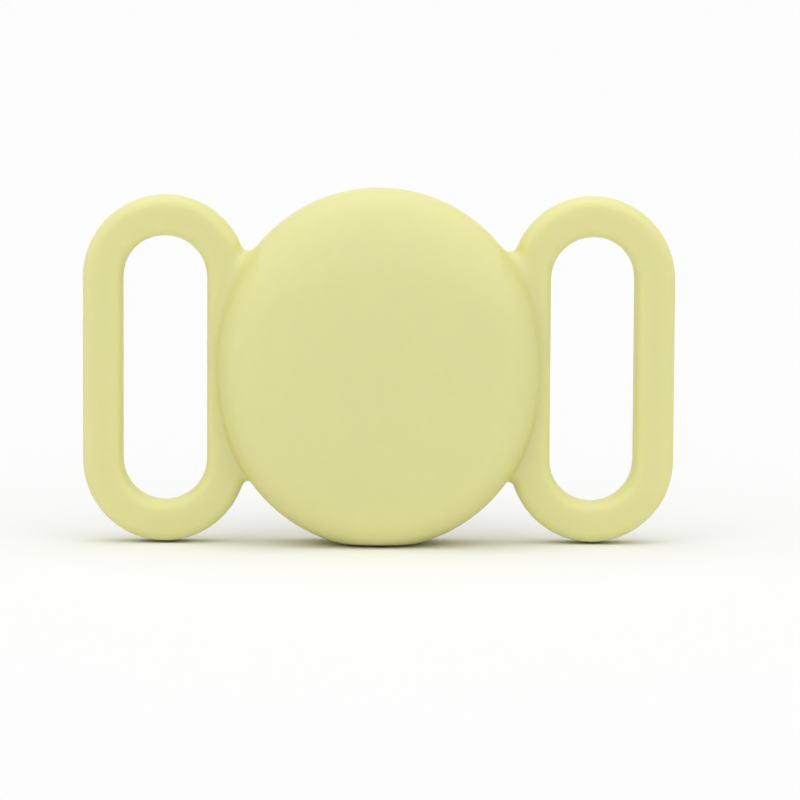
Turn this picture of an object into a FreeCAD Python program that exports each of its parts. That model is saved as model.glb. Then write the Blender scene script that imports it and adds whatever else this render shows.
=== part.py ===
import FreeCAD, Part
import Sketcher
import math
import os

# Tracker tag holder: a soft moulded sleeve with a pod and two strap loops, and a coin-shaped tag in the pod.
# The part stands upright: X runs along its length, Y from its front to its back, and Z up from the floor.

SIZES = {
    # Coin cell
    "cell_diameter": 20.0,
    "cell_thickness": 3.2,
    "can_wall": 0.25,
    "can_edge_round": 0.2,
    "seal_wall": 0.3,
    "cap_step": 0.4,
    "cap_lift": 0.3,
    "cell_fit": 0.05,
    # Battery well and its contacts
    "contact_gap": 0.08,
    "contact_sheet": 0.12,
    "contact_back_gap": 0.1,
    "contact_angle": 16.0,
    "contact_reach": 2.0,
    "contact_slot_margin": 0.05,
    "contact_slot_spread": 2.0,
    "leaf_foot": 1.05,
    "leaf_width": 3.0,
    "leaf_rise": 0.11,
    "leaf_touch": 0.02,
    "well_wall": 0.9,
    "floor_thickness": 0.6,
    # Bayonet between the frame and the battery cover
    "turn_clearance": 0.1,
    "gasket_ledge": 0.2,
    "gasket_width": 0.9,
    "gasket_room": 0.1,
    "gasket_squeeze_gap": 0.02,
    "skirt_wall": 0.45,
    "tab_reach": 0.5,
    "tab_room": 0.25,
    "tab_thickness": 0.5,
    "tab_angle": 16.0,
    "lug_thickness": 0.3,
    "lug_angle": 16.0,
    "cell_play": 0.05,
    "ledge_thickness": 0.6,
    # Battery cover
    "cover_edge": 0.35,
    "cover_crown": 0.35,
    "coin_slot_length": 13.0,
    "coin_slot_width": 1.8,
    "coin_slot_depth": 0.4,
    "cover_edge_round": 0.2,
    # Frame and front shell of the tag
    "rim_wall": 1.9,
    "rim_rise": 0.1,
    "bond_gap": 0.05,
    "shell_wall": 1.3,
    "shell_step": 0.4,
    "shell_front_wall": 1.1,
    "shell_crown": 0.6,
    "shell_edge_round": 3.0,
    "shell_inner_round": 1.5,
    "shell_back_round": 0.8,
    # Circuit board and the antennas
    "board_thickness": 0.6,
    "board_inner_gap": 0.4,
    "antenna_sheet": 0.12,
    "antenna_width": 0.7,
    "antenna_gap": 0.3,
    "antenna_break": 22.0,
    # Parts on the board
    "parts_gap": 0.2,
    "parts_margin": 0.5,
    "radio_size": 3.4,
    "radio_height": 0.6,
    "shield_sheet": 0.15,
    "shield_side_room": 0.65,
    "shield_room": 0.15,
    "processor_size": 3.6,
    "processor_height": 0.75,
    "memory_length": 3.0,
    "memory_width": 2.2,
    "memory_height": 0.6,
    "sensor_size": 2.2,
    "sensor_height": 0.8,
    "crystal_length": 2.0,
    "crystal_width": 1.2,
    "crystal_height": 0.5,
    "passive_length": 1.0,
    "passive_width": 0.5,
    "passive_height": 0.5,
    # Sounder
    "magnet_radius": 4.2,
    "coil_gap": 0.25,
    "coil_wall": 0.45,
    "yoke_wall": 0.4,
    "yoke_base": 0.4,
    "pole_thickness": 0.2,
    "sounder_gap": 0.4,
    # Pocket and walls of the sleeve
    "pocket_clearance": 0.1,
    "side_wall": 1.0,
    "end_wall": 3.0,
    "front_wall": 1.6,
    "lip_thickness": 1.4,
    "lip_gap": 0.3,
    "lip_round": 0.5,
    # Pod
    "side_bulge": 0.35,
    "pod_crown": 0.8,
    "pod_front_round": 4.2,
    "pod_back_round": 2.0,
    "foot_cut": 0.3,
    # Strap loops
    "slot_width": 8.83,
    "slot_length": 28.2,
    "slot_web": 1.25,
    "bar_width": 4.35,
    "bar_depth": 4.2,
    "bar_round": 1.6,
    "loop_setback": 5.3,
    "crease_round": 0.8,
}

# Counts, and angles in degrees round the tag's axis
BAYONET_COUNT = 3
CONTACT_COUNT = 2
ANTENNA_COUNT = 3
RADIO_ANGLE = 90
PROCESSOR_ANGLE = 180
MEMORY_ANGLE = 270
SENSOR_ANGLE = 330
CRYSTAL_ANGLE = 135
PASSIVE_ANGLES = [*range(10, 61, 10), *range(210, 241, 10), 295, 305]

# Least angle in degrees between two faces that meet in a crease, and the tolerance for finding edges by place
CREASE_ANGLE = 20.0
EDGE_TOLERANCE = 0.001

# Most of a wall's thickness that the round on one of its edges may take
ROUND_SHARE = 0.45

# Radii are measured from the tag's axis. Depths are measured along +Y from the foremost point of the pod.
PLACES = {
    # Radii, from the coin cell outwards to the pod
    "cell_radius": "dims.cell_diameter / 2",
    "can_inner": "places.cell_radius - dims.can_wall",
    "seal_outer": "places.can_inner - dims.cell_fit",
    "seal_inner": "places.seal_outer - dims.seal_wall",
    "cap_outer": "places.seal_inner - dims.cell_fit",
    "cap_inner": "places.cap_outer - dims.cap_step",
    "contact_inner": "places.cell_radius + dims.contact_gap",
    "contact_outer": "places.contact_inner + dims.contact_sheet",
    "well_radius": "places.contact_outer + dims.contact_back_gap",
    "well_outer": "places.well_radius + dims.well_wall",
    "gasket_inner": "places.well_radius + dims.gasket_ledge",
    "gasket_outer": "places.gasket_inner + dims.gasket_width",
    "skirt_inner": "places.gasket_outer + dims.gasket_room",
    "skirt_outer": "places.skirt_inner + dims.skirt_wall",
    "lug_inner": "places.skirt_outer + dims.turn_clearance",
    "tab_outer": "places.skirt_outer + dims.tab_reach",
    "recess_radius": "places.tab_outer + dims.tab_room",
    "cover_radius": "places.recess_radius - dims.turn_clearance",
    "rim_outer": "places.recess_radius + dims.rim_wall",
    "shell_bore": "places.rim_outer + dims.bond_gap",
    "shell_seat": "places.shell_bore - dims.shell_step",
    "tag_radius": "places.shell_bore + dims.shell_wall",
    "coil_inner": "dims.magnet_radius + dims.coil_gap",
    "coil_outer": "places.coil_inner + dims.coil_wall",
    "yoke_inner": "places.coil_outer + dims.coil_gap",
    "yoke_outer": "places.yoke_inner + dims.yoke_wall",
    "board_inner": "places.yoke_outer + dims.board_inner_gap",
    "antenna_outer": "places.shell_seat - dims.antenna_gap",
    "antenna_inner": "places.antenna_outer - dims.antenna_width",
    "board_outer": "places.antenna_inner - dims.antenna_gap",
    "shield_size": "dims.radio_size + 2 * (dims.shield_side_room + dims.shield_sheet)",
    "chip_ring": "places.board_inner + dims.parts_margin + places.shield_size / 2",
    "passive_ring": "places.board_outer - dims.parts_margin - dims.passive_length / 2",
    "pocket_radius": "places.tag_radius + dims.pocket_clearance",
    "lip_radius": "places.cover_radius + dims.lip_gap",
    "pod_half_width": "places.pocket_radius + dims.side_wall",
    "pod_half_height": "places.pocket_radius + dims.end_wall",
    # Depths, from the pod's front to its back
    "tag_front": "dims.front_wall + dims.pocket_clearance",
    "shell_inner": "places.tag_front + dims.shell_front_wall",
    "shield_height": "dims.radio_height + dims.shield_room + dims.shield_sheet",
    "chip_height": "max(dims.processor_height; dims.memory_height; dims.sensor_height)",
    "small_height": "max(dims.crystal_height; dims.passive_height)",
    "parts_height": "max(places.shield_height; places.chip_height; places.small_height)",
    "board_front": "places.shell_inner + places.parts_height + dims.parts_gap",
    "floor_front": "places.board_front + dims.board_thickness",
    "floor_back": "places.floor_front + dims.floor_thickness",
    "cell_front": "places.floor_back + dims.contact_sheet + dims.leaf_rise + dims.leaf_touch",
    "cell_back": "places.cell_front + dims.cell_thickness",
    "plate_front": "places.cell_back + dims.cell_play",
    "plate_back": "places.plate_front + dims.lug_thickness + dims.turn_clearance",
    "cover_rim": "places.plate_back + dims.cover_edge",
    "cover_apex": "places.cover_rim + dims.cover_crown",
    "tab_back": "places.plate_front - dims.turn_clearance",
    "tab_front": "places.tab_back - dims.tab_thickness",
    "recess_floor": "places.tab_front - dims.turn_clearance",
    "ledge_front": "places.recess_floor - dims.ledge_thickness",
    "rim_back": "places.plate_back + dims.rim_rise",
    "lip_front": "places.rim_back + dims.pocket_clearance",
    "pod_depth": "places.lip_front + dims.lip_thickness",
    "loop_depth": "dims.loop_setback + dims.bar_depth / 2",
    "yoke_front": "places.shell_inner + dims.sounder_gap",
    "yoke_floor": "places.floor_front - dims.yoke_base",
    "magnet_front": "places.yoke_front + dims.pole_thickness",
    "coil_back": "places.yoke_floor - dims.coil_gap",
    "can_front": "places.cell_front + dims.cap_lift",
    "can_floor": "places.cell_back - dims.can_wall",
    "fill_back": "places.can_floor - dims.cell_fit",
    "contact_back": "places.cell_front + dims.contact_reach",
    # Front dome of the tag, tangent to the round of its edge
    "shell_dome": "(places.tag_radius ^ 2 + dims.shell_crown ^ 2) / (2 * dims.shell_crown)",
    "shell_edge_ring": "places.tag_radius - dims.shell_edge_round",
    "shell_dome_rest": "places.shell_dome - dims.shell_edge_round",
    "shell_dome_drop": "sqrt(places.shell_dome_rest ^ 2 - places.shell_edge_ring ^ 2)",
    "shell_dome_share": "places.shell_dome / places.shell_dome_rest",
    "shell_dome_end": "places.shell_edge_ring * places.shell_dome_share",
    "shell_dome_end_depth": "places.shell_dome - places.shell_dome_drop * places.shell_dome_share",
    "shell_edge_depth": "places.shell_dome - places.shell_dome_drop",
    # Pocket, one clearance outside the tag all round
    "pocket_dome": "places.shell_dome + dims.pocket_clearance",
    "pocket_edge_round": "dims.shell_edge_round + dims.pocket_clearance",
    "pocket_dome_share": "places.pocket_dome / places.shell_dome_rest",
    "pocket_dome_end": "places.shell_edge_ring * places.pocket_dome_share",
    "pocket_dome_end_depth":
        "dims.front_wall + places.pocket_dome - places.shell_dome_drop * places.pocket_dome_share",
    "pocket_edge_depth": "places.tag_front + places.shell_edge_depth",
    # Pod outline of four tangent arcs, two round ends and two flatter sides
    "end_radius": "places.pod_half_width - dims.side_bulge",
    "end_centre": "places.pod_half_height - places.end_radius",
    "side_centre": "(places.end_centre ^ 2 - dims.side_bulge ^ 2) / (2 * dims.side_bulge)",
    "side_radius": "places.pod_half_width + places.side_centre",
    "centre_line": "sqrt(places.side_centre ^ 2 + places.end_centre ^ 2)",
    "join_x": "places.side_centre * (places.side_radius / places.centre_line - 1)",
    "join_z": "places.side_radius * places.end_centre / places.centre_line",
    "pod_dome": "(places.pod_half_width ^ 2 + dims.pod_crown ^ 2) / (2 * dims.pod_crown)",
    "dome_reach": "places.pod_half_height + dims.pod_crown",
    "dome_depth": "places.pod_dome - sqrt(places.pod_dome ^ 2 - places.dome_reach ^ 2)",
    # Strap loops
    "loop_centre": "places.pod_half_width + dims.slot_web + dims.slot_width / 2",
    "spine_radius": "(dims.slot_width + dims.bar_width) / 2",
    "spine_half": "(dims.slot_length - dims.slot_width) / 2",
    "spine_top": "places.spine_half + places.spine_radius",
    "spine_inner_x": "places.loop_centre - places.spine_radius",
    "spine_outer_x": "places.loop_centre + places.spine_radius",
    "bar_inner_x": "places.loop_centre + dims.slot_width / 2",
    "bar_outer_x": "places.bar_inner_x + dims.bar_width",
    "bar_back": "dims.loop_setback + dims.bar_depth",
    # Back dome of the battery cover
    "cover_dome": "(places.cover_radius ^ 2 + dims.cover_crown ^ 2) / (2 * dims.cover_crown)",
    # Small rounds, limited by their walls
    "lip_edge": f"min(dims.lip_round; {ROUND_SHARE} * dims.lip_thickness)",
    "shell_back_edge": f"min(dims.shell_back_round; {2 * ROUND_SHARE} * dims.shell_wall)",
    "shell_inner_edge":
        f"min(dims.shell_inner_round; {2 * ROUND_SHARE} * (places.floor_front - places.shell_inner))",
    "bar_edge": f"min(dims.bar_round; {ROUND_SHARE} * dims.bar_width; {ROUND_SHARE} * dims.bar_depth)",
    "can_edge": f"min(dims.can_edge_round; {2 * ROUND_SHARE} * dims.can_wall)",
    # Arch of the leaf under the cell
    "leaf_half": "places.board_inner + dims.leaf_foot",
    "leaf_round": "(places.leaf_half ^ 2 + dims.leaf_rise ^ 2) / (2 * dims.leaf_rise)",
    # Placement of every sub-part in the part's own frame
    "base_y": "-places.pod_depth / 2",
    "base_z": "places.pod_half_height - dims.foot_cut",
}

doc = FreeCAD.newDocument("tracker_tag_holder")
dims = doc.addObject("Spreadsheet::Sheet", "dims")
for row, (alias, number) in enumerate(SIZES.items(), start=1):
    dims.set(f"A{row}", alias)
    dims.set(f"B{row}", str(number))
    dims.setAlias(f"B{row}", alias)
doc.recompute()

places = doc.addObject("App::VarSet", "places")
for place, formula in PLACES.items():
    places.addProperty("App::PropertyFloat", place, "Places")
    places.setExpression(place, formula)
doc.recompute()

sub_parts = []


def value(formula):
    """Number that a formula has now."""
    return float(dims.evalExpression(formula))


def place_sub_part(item):
    """Set a sub-part on the pod's centre and note it for export."""
    item.setExpression("Placement.Base.y", "places.base_y")
    item.setExpression("Placement.Base.z", "places.base_z")
    sub_parts.append(item)


def new_sketch(body, name, role, offset=None):
    """Sketch on one of the body's own origin planes, moved along the plane's normal by a formula."""
    sketch = body.newObject("Sketcher::SketchObject", name)
    plane = next(item for item in body.Origin.OriginFeatures if item.Role == role)
    sketch.AttachmentSupport = [(plane, "")]
    sketch.MapMode = "FlatFace"
    if offset:
        sketch.setExpression("AttachmentOffset.Base.z", offset)
    return sketch


def tie_coordinate(sketch, kind, axis, point, formula):
    """Hold one coordinate of a sketch point at a formula's value."""
    number = value(formula)
    if formula == "0":
        sketch.addConstraint(Sketcher.Constraint("PointOnObject", *point, axis))
    elif number < 0:
        index = sketch.addConstraint(Sketcher.Constraint(kind, *point, -1, 1, -number))
        sketch.setExpression(f"Constraints[{index}]", f"-({formula})")
    else:
        index = sketch.addConstraint(Sketcher.Constraint(kind, -1, 1, *point, number))
        sketch.setExpression(f"Constraints[{index}]", formula)


def draw_outline(sketch, corners):
    """Closed outline of (x, y) corners. A corner (x, y, radius, side) starts an arc centred on that side."""
    spots = [FreeCAD.Vector(value(corner[0]), value(corner[1]), 0) for corner in corners]
    starts = []
    ends = []
    for corner, start, end in zip(corners, spots, spots[1:] + spots[:1]):
        if len(corner) == 2:
            edge = sketch.addGeometry(Part.LineSegment(start, end))
            starts.append((edge, 1))
            ends.append((edge, 2))
            continue
        radius = value(corner[2])
        along = end - start
        left = FreeCAD.Vector(-along.y, along.x, 0).normalize()
        turn = 1 if corner[3] == "left" else -1
        rise = math.sqrt(max(radius ** 2 - along.Length ** 2 / 4, 0))
        centre = (start + end) / 2 + left * (turn * rise)
        first, last = (start, end) if turn > 0 else (end, start)
        angles = [math.atan2(spot.y - centre.y, spot.x - centre.x) for spot in (first, last)]
        circle = Part.Circle(centre, FreeCAD.Vector(0, 0, 1), radius)
        edge = sketch.addGeometry(Part.ArcOfCircle(circle, *angles))
        starts.append((edge, 1 if turn > 0 else 2))
        ends.append((edge, 2 if turn > 0 else 1))
        index = sketch.addConstraint(Sketcher.Constraint("Radius", edge, radius))
        sketch.setExpression(f"Constraints[{index}]", corner[2])
    for corner, start, last_end in zip(corners, starts, ends[-1:] + ends[:-1]):
        sketch.addConstraint(Sketcher.Constraint("Coincident", *last_end, *start))
        tie_coordinate(sketch, "DistanceX", -2, start, corner[0])
        tie_coordinate(sketch, "DistanceY", -1, start, corner[1])


def turn_profile(body, kind, name, corners, angle="360"):
    """Turn a profile of (radius, depth) corners about the tag's axis, centred on the XY plane if partial."""
    sketch = new_sketch(body, name + "_profile", "XY_Plane")
    draw_outline(sketch, corners)
    feature = body.newObject("PartDesign::" + kind, name)
    feature.Profile = sketch
    feature.ReferenceAxis = (sketch, ["V_Axis"])
    feature.setExpression("Angle", angle)
    feature.Midplane = angle != "360"
    sketch.Visibility = False
    return feature


def ring_pattern(body, feature, count):
    """Repeat a feature evenly about the tag's axis."""
    pattern = body.newObject("PartDesign::PolarPattern", feature.Name + "_ring")
    pattern.Originals = [feature]
    pattern.Axis = (feature.Profile[0], ["V_Axis"])
    pattern.Angle = 360
    pattern.Occurrences = count
    body.Tip = pattern


def rectangle(inner, outer, front, back):
    """Corners of an upright rectangle, often the section of a plain ring."""
    return [(inner, front), (outer, front), (outer, back), (inner, back)]


def turned_part(label, corners):
    """Sub-part that is one turned profile."""
    body = doc.addObject("PartDesign::Body", label)
    turn_profile(body, "Revolution", label + "_turned", corners)
    place_sub_part(body)
    return body


def edge_names(shape, wanted):
    """Names of the edges of a shape that pass a test."""
    return [f"Edge{number}" for number, edge in enumerate(shape.Edges, start=1) if wanted(edge)]


def round_edges(body, name, names, radius):
    """Fillet on named edges of the body's last feature."""
    base = body.Tip
    fillet = body.newObject("PartDesign::Fillet", name)
    fillet.Base = (base, names)
    fillet.setExpression("Radius", radius)


# Holder sleeve: one soft moulding with the pod, both strap loops, the pocket, its lip and a flat foot
sleeve = doc.addObject("PartDesign::Body", "holder_sleeve")

pod_outline = new_sketch(sleeve, "pod_outline", "XZ_Plane")
draw_outline(pod_outline, [
    ("places.join_x", "places.join_z", "places.end_radius", "left"),
    ("-places.join_x", "places.join_z", "places.side_radius", "left"),
    ("-places.join_x", "-places.join_z", "places.end_radius", "left"),
    ("places.join_x", "-places.join_z", "places.side_radius", "left"),
])
pod = sleeve.newObject("PartDesign::Pad", "pod")
pod.Profile = pod_outline
pod.Reversed = True
pod.setExpression("Length", "places.pod_depth")

turn_profile(sleeve, "Groove", "front_dome", [
    ("0", "0", "places.pod_dome", "left"),
    ("places.dome_reach", "places.dome_depth"),
    ("places.dome_reach", "-dims.pod_crown"),
    ("0", "-dims.pod_crown"),
])
doc.recompute()

dome_limit = value("places.dome_depth")
front_names = edge_names(sleeve.Tip.Shape, lambda edge: edge.BoundBox.YMax <= dome_limit)
round_edges(sleeve, "front_round", front_names, "dims.pod_front_round")
doc.recompute()

back_limit = value("places.pod_depth") - EDGE_TOLERANCE
back_names = edge_names(sleeve.Tip.Shape, lambda edge: edge.BoundBox.YMin >= back_limit)
round_edges(sleeve, "back_round", back_names, "dims.pod_back_round")
doc.recompute()

loop_spine = new_sketch(sleeve, "loop_spine", "XZ_Plane", "-places.loop_depth")
draw_outline(loop_spine, [
    ("places.spine_outer_x", "0"),
    ("places.spine_outer_x", "places.spine_half", "places.spine_radius", "left"),
    ("places.loop_centre", "places.spine_top", "places.spine_radius", "left"),
    ("places.spine_inner_x", "places.spine_half"),
    ("places.spine_inner_x", "-places.spine_half", "places.spine_radius", "left"),
    ("places.loop_centre", "-places.spine_top", "places.spine_radius", "left"),
    ("places.spine_outer_x", "-places.spine_half"),
])
bar_section = new_sketch(sleeve, "bar_section", "XY_Plane")
draw_outline(bar_section, [
    ("places.bar_inner_x + places.bar_edge", "dims.loop_setback"),
    ("places.bar_outer_x - places.bar_edge", "dims.loop_setback", "places.bar_edge", "left"),
    ("places.bar_outer_x", "dims.loop_setback + places.bar_edge"),
    ("places.bar_outer_x", "places.bar_back - places.bar_edge", "places.bar_edge", "left"),
    ("places.bar_outer_x - places.bar_edge", "places.bar_back"),
    ("places.bar_inner_x + places.bar_edge", "places.bar_back", "places.bar_edge", "left"),
    ("places.bar_inner_x", "places.bar_back - places.bar_edge"),
    ("places.bar_inner_x", "dims.loop_setback + places.bar_edge", "places.bar_edge", "left"),
])
strap_loop = sleeve.newObject("PartDesign::AdditivePipe", "strap_loop")
strap_loop.Profile = bar_section
strap_loop.Spine = loop_spine
doc.recompute()

loop_mirror = sleeve.newObject("PartDesign::Mirrored", "strap_loop_mirror")
loop_mirror.Originals = [strap_loop]
loop_mirror.MirrorPlane = (bar_section, ["V_Axis"])
sleeve.Tip = loop_mirror
doc.recompute()


def is_crease(edge):
    """True where a loop runs into the pod at an angle."""
    middle = edge.valueAt((edge.FirstParameter + edge.LastParameter) / 2)
    faces = loop_mirror.Shape.ancestorsOfType(edge, Part.Face)
    normals = [face.normalAt(*face.Surface.parameter(middle)) for face in faces]
    return len(normals) == 2 and math.degrees(normals[0].getAngle(normals[1])) > CREASE_ANGLE


crease_names = edge_names(loop_mirror.Shape, is_crease)
round_edges(sleeve, "crease_round", crease_names, "dims.crease_round")
doc.recompute()

turn_profile(sleeve, "Groove", "pocket", [
    ("0", "dims.front_wall", "places.pocket_dome", "left"),
    ("places.pocket_dome_end", "places.pocket_dome_end_depth", "places.pocket_edge_round", "left"),
    ("places.pocket_radius", "places.pocket_edge_depth"),
    ("places.pocket_radius", "places.lip_front"),
    ("places.lip_radius + places.lip_edge", "places.lip_front", "places.lip_edge", "left"),
    ("places.lip_radius", "places.lip_front + places.lip_edge"),
    ("places.lip_radius", "places.pod_depth - places.lip_edge", "places.lip_edge", "left"),
    ("places.lip_radius + places.lip_edge", "places.pod_depth"),
    ("places.lip_radius + places.lip_edge", "places.pod_depth + dims.lip_thickness"),
    ("0", "places.pod_depth + dims.lip_thickness"),
])

foot_outline = new_sketch(sleeve, "foot_outline", "XZ_Plane")
draw_outline(foot_outline, rectangle(
    "-places.pod_half_width", "places.pod_half_width",
    "-places.pod_half_height - dims.foot_cut", "-places.base_z",
))
foot = sleeve.newObject("PartDesign::Pocket", "foot")
foot.Profile = foot_outline
foot.setExpression("Length", "places.pod_depth")
place_sub_part(sleeve)

# Front shell: white moulded dome of the tag, open to the back, with a step that the frame sits on
turned_part("front_shell", [
    ("0", "places.tag_front", "places.shell_dome", "left"),
    (
        "places.shell_dome_end", "places.tag_front + places.shell_dome_end_depth",
        "dims.shell_edge_round", "left",
    ),
    ("places.tag_radius", "places.tag_front + places.shell_edge_depth"),
    ("places.tag_radius", "places.rim_back - places.shell_back_edge", "places.shell_back_edge", "left"),
    ("places.tag_radius - places.shell_back_edge", "places.rim_back"),
    ("places.shell_bore", "places.rim_back"),
    ("places.shell_bore", "places.floor_front"),
    ("places.shell_seat", "places.floor_front"),
    ("places.shell_seat", "places.shell_inner + places.shell_inner_edge", "places.shell_inner_edge", "right"),
    ("places.shell_seat - places.shell_inner_edge", "places.shell_inner"),
    ("0", "places.shell_inner"),
])

# Inner frame: floor, battery well and rim in one moulding, with three bayonet lugs and slots for the contacts
frame = turned_part("inner_frame", [
    ("0", "places.floor_front"),
    ("places.rim_outer", "places.floor_front"),
    ("places.rim_outer", "places.floor_back"),
    ("places.well_outer", "places.floor_back"),
    ("places.well_outer", "places.ledge_front"),
    ("places.rim_outer", "places.ledge_front"),
    ("places.rim_outer", "places.rim_back"),
    ("places.recess_radius", "places.rim_back"),
    ("places.recess_radius", "places.recess_floor"),
    ("places.well_radius", "places.recess_floor"),
    ("places.well_radius", "places.floor_back"),
    ("0", "places.floor_back"),
])
lug = turn_profile(
    frame, "Revolution", "lug",
    rectangle(
        "places.lug_inner", "places.recess_radius + dims.rim_wall / 2",
        "places.plate_front", "places.plate_front + dims.lug_thickness",
    ),
    "dims.lug_angle",
)
ring_pattern(frame, lug, BAYONET_COUNT)
contact_slot = turn_profile(
    frame, "Groove", "contact_slot",
    rectangle(
        "places.contact_inner - dims.contact_slot_margin", "places.contact_outer + dims.contact_slot_margin",
        "places.floor_front - dims.floor_thickness", "places.floor_back + dims.contact_slot_margin",
    ),
    "dims.contact_angle + dims.contact_slot_spread",
)
ring_pattern(frame, contact_slot, CONTACT_COUNT)
leaf_slot_outline = new_sketch(frame, "leaf_slot_outline", "XZ_Plane", "-places.floor_back")
draw_outline(leaf_slot_outline, rectangle(
    "-places.leaf_half - dims.contact_slot_margin",
    "-places.leaf_half + dims.contact_sheet + dims.contact_slot_margin",
    "-dims.leaf_width / 2 - dims.contact_slot_margin",
    "dims.leaf_width / 2 + dims.contact_slot_margin",
))
leaf_slot = frame.newObject("PartDesign::Pocket", "leaf_slot")
leaf_slot.Profile = leaf_slot_outline
leaf_slot.Midplane = True
leaf_slot.setExpression("Length", "2 * (dims.floor_thickness + dims.contact_slot_margin)")

# Main board: ring-shaped board bonded to the front of the frame's floor
turned_part("main_board", rectangle(
    "places.board_inner", "places.board_outer", "places.board_front", "places.floor_front",
))


def board_box(name, angle, length, width, height, ring="places.chip_ring"):
    """Block that stands on the board's front face, on a ring and at an angle round the tag's axis."""
    box = doc.addObject("Part::Box", name)
    box.setExpression("Length", length)
    box.setExpression("Width", height)
    box.setExpression("Height", width)
    across = f"{ring} * cos({angle} deg)"
    up = f"places.base_z + {ring} * sin({angle} deg)"
    box.setExpression("Placement.Base.x", f"{across} - ({length}) / 2")
    box.setExpression("Placement.Base.y", f"places.base_y + places.board_front - ({height})")
    box.setExpression("Placement.Base.z", f"{up} - ({width}) / 2")
    return box


def group(label, items):
    """Sub-part of several separate solids."""
    compound = doc.addObject("Part::Compound", label)
    compound.Links = items
    sub_parts.append(compound)


# Board parts: chips, small parts, the radio chip's shield can and the clock crystal
group("board_chips", [
    board_box("radio_chip", RADIO_ANGLE, "dims.radio_size", "dims.radio_size", "dims.radio_height"),
    board_box(
        "processor", PROCESSOR_ANGLE,
        "dims.processor_size", "dims.processor_size", "dims.processor_height",
    ),
    board_box("memory", MEMORY_ANGLE, "dims.memory_length", "dims.memory_width", "dims.memory_height"),
    board_box("motion_sensor", SENSOR_ANGLE, "dims.sensor_size", "dims.sensor_size", "dims.sensor_height"),
])
group("board_passives", [
    board_box(
        f"passive_{angle}", angle,
        "dims.passive_length", "dims.passive_width", "dims.passive_height", "places.passive_ring",
    )
    for angle in PASSIVE_ANGLES
])
shield = doc.addObject("Part::Cut", "chip_shield")
shield.Base = board_box(
    "shield_block", RADIO_ANGLE,
    "places.shield_size", "places.shield_size", "places.shield_height",
)
shield.Tool = board_box(
    "shield_hollow", RADIO_ANGLE,
    "places.shield_size - 2 * dims.shield_sheet", "places.shield_size - 2 * dims.shield_sheet",
    "places.shield_height - dims.shield_sheet",
)
sub_parts.append(shield)
group("clock_crystal", [
    board_box(
        "crystal_can", CRYSTAL_ANGLE,
        "dims.crystal_length", "dims.crystal_width", "dims.crystal_height",
    ),
])

# Antenna strips: three copper arcs on the frame's floor, outside the board
antennas = doc.addObject("PartDesign::Body", "antenna_strips")
antenna = turn_profile(
    antennas, "Revolution", "antenna",
    rectangle(
        "places.antenna_inner", "places.antenna_outer",
        "places.floor_front - dims.antenna_sheet", "places.floor_front",
    ),
    f"{360 / ANTENNA_COUNT} - dims.antenna_break",
)
ring_pattern(antennas, antenna, ANTENNA_COUNT)
place_sub_part(antennas)

# Sounder: steel cup on the frame's floor, magnet and pole plate in it, and the coil bonded to the front shell
turned_part("speaker_yoke", [
    ("0", "places.yoke_floor"),
    ("places.yoke_inner", "places.yoke_floor"),
    ("places.yoke_inner", "places.yoke_front"),
    ("places.yoke_outer", "places.yoke_front"),
    ("places.yoke_outer", "places.floor_front"),
    ("0", "places.floor_front"),
])
turned_part("speaker_magnet", rectangle(
    "0", "dims.magnet_radius", "places.magnet_front", "places.yoke_floor",
))
turned_part("pole_plate", rectangle(
    "0", "dims.magnet_radius", "places.yoke_front", "places.magnet_front",
))
turned_part("voice_coil", rectangle(
    "places.coil_inner", "places.coil_outer", "places.shell_inner", "places.coil_back",
))

# Contacts: two strips beside the cell, through the frame's floor to the board, and an arched leaf under it
contacts = doc.addObject("PartDesign::Body", "positive_contacts")
contact = turn_profile(
    contacts, "Revolution", "contact",
    rectangle("places.contact_inner", "places.contact_outer", "places.floor_front", "places.contact_back"),
    "dims.contact_angle",
)
ring_pattern(contacts, contact, CONTACT_COUNT)
place_sub_part(contacts)

leaf = doc.addObject("PartDesign::Body", "negative_contact")
leaf_outline = new_sketch(leaf, "leaf_outline", "XY_Plane")
draw_outline(leaf_outline, [
    ("-places.leaf_half", "places.floor_front"),
    ("-places.leaf_half + dims.contact_sheet", "places.floor_front"),
    ("-places.leaf_half + dims.contact_sheet", "places.floor_back", "places.leaf_round", "right"),
    ("places.leaf_half", "places.floor_back"),
    ("places.leaf_half", "places.floor_back + dims.contact_sheet", "places.leaf_round", "left"),
    ("-places.leaf_half", "places.floor_back + dims.contact_sheet"),
])
leaf_strip = leaf.newObject("PartDesign::Pad", "leaf_strip")
leaf_strip.Profile = leaf_outline
leaf_strip.Midplane = True
leaf_strip.setExpression("Length", "dims.leaf_width")
place_sub_part(leaf)

# Coin cell: steel can open to the front, the cap with its fill, and the seal ring between them
turned_part("coin_cell_can", [
    ("0", "places.can_floor"),
    ("places.can_inner", "places.can_floor"),
    ("places.can_inner", "places.can_front"),
    ("places.cell_radius", "places.can_front"),
    ("places.cell_radius", "places.cell_back - places.can_edge", "places.can_edge", "left"),
    ("places.cell_radius - places.can_edge", "places.cell_back"),
    ("0", "places.cell_back"),
])
turned_part("coin_cell_cap", [
    ("0", "places.cell_front"),
    ("places.cap_inner", "places.cell_front"),
    ("places.cap_inner", "places.can_front"),
    ("places.cap_outer", "places.can_front"),
    ("places.cap_outer", "places.fill_back"),
    ("0", "places.fill_back"),
])
turned_part("coin_cell_seal", rectangle(
    "places.seal_inner", "places.seal_outer", "places.can_front", "places.fill_back",
))

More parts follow.
